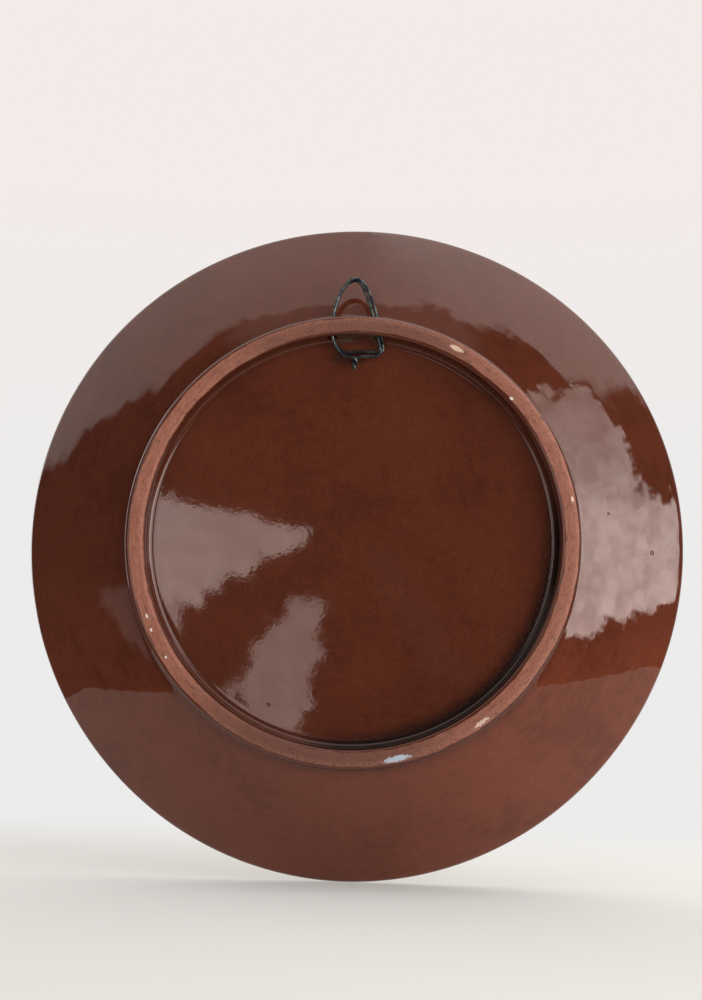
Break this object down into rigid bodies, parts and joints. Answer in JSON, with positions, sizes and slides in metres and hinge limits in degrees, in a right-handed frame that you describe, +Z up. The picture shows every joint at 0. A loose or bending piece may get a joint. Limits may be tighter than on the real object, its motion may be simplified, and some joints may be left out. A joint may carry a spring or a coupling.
{
  "type": "wall platter",
  "caption": "Round glazed earthenware platter with a wide sloping rim and a raised foot ring, hung by a looped wire drawn through the ring.",
  "frame": {"origin": "where the nail bears on the hanger wire, under the top of the inner turn, straight above the platter's axis", "axes": "+Z up as the platter hangs, +Y out of its back towards the wall, along the platter's axis; the face looks to -Y"},
  "size_m": [0.3298, 0.0432, 0.3299],
  "materials": {
    "glazed_earthenware": "glossy red-brown glaze over red clay, wiped bare and orange-tan on the edge of the foot ring, with cream slip trailed on the face",
    "iron_wire": "dark iron wire, dull and slightly worn"
  },
  "bodies": {
    "root": {"platter_body": "glazed_earthenware", "hanger_wire": "iron_wire"}
  },
  "joints": []
}
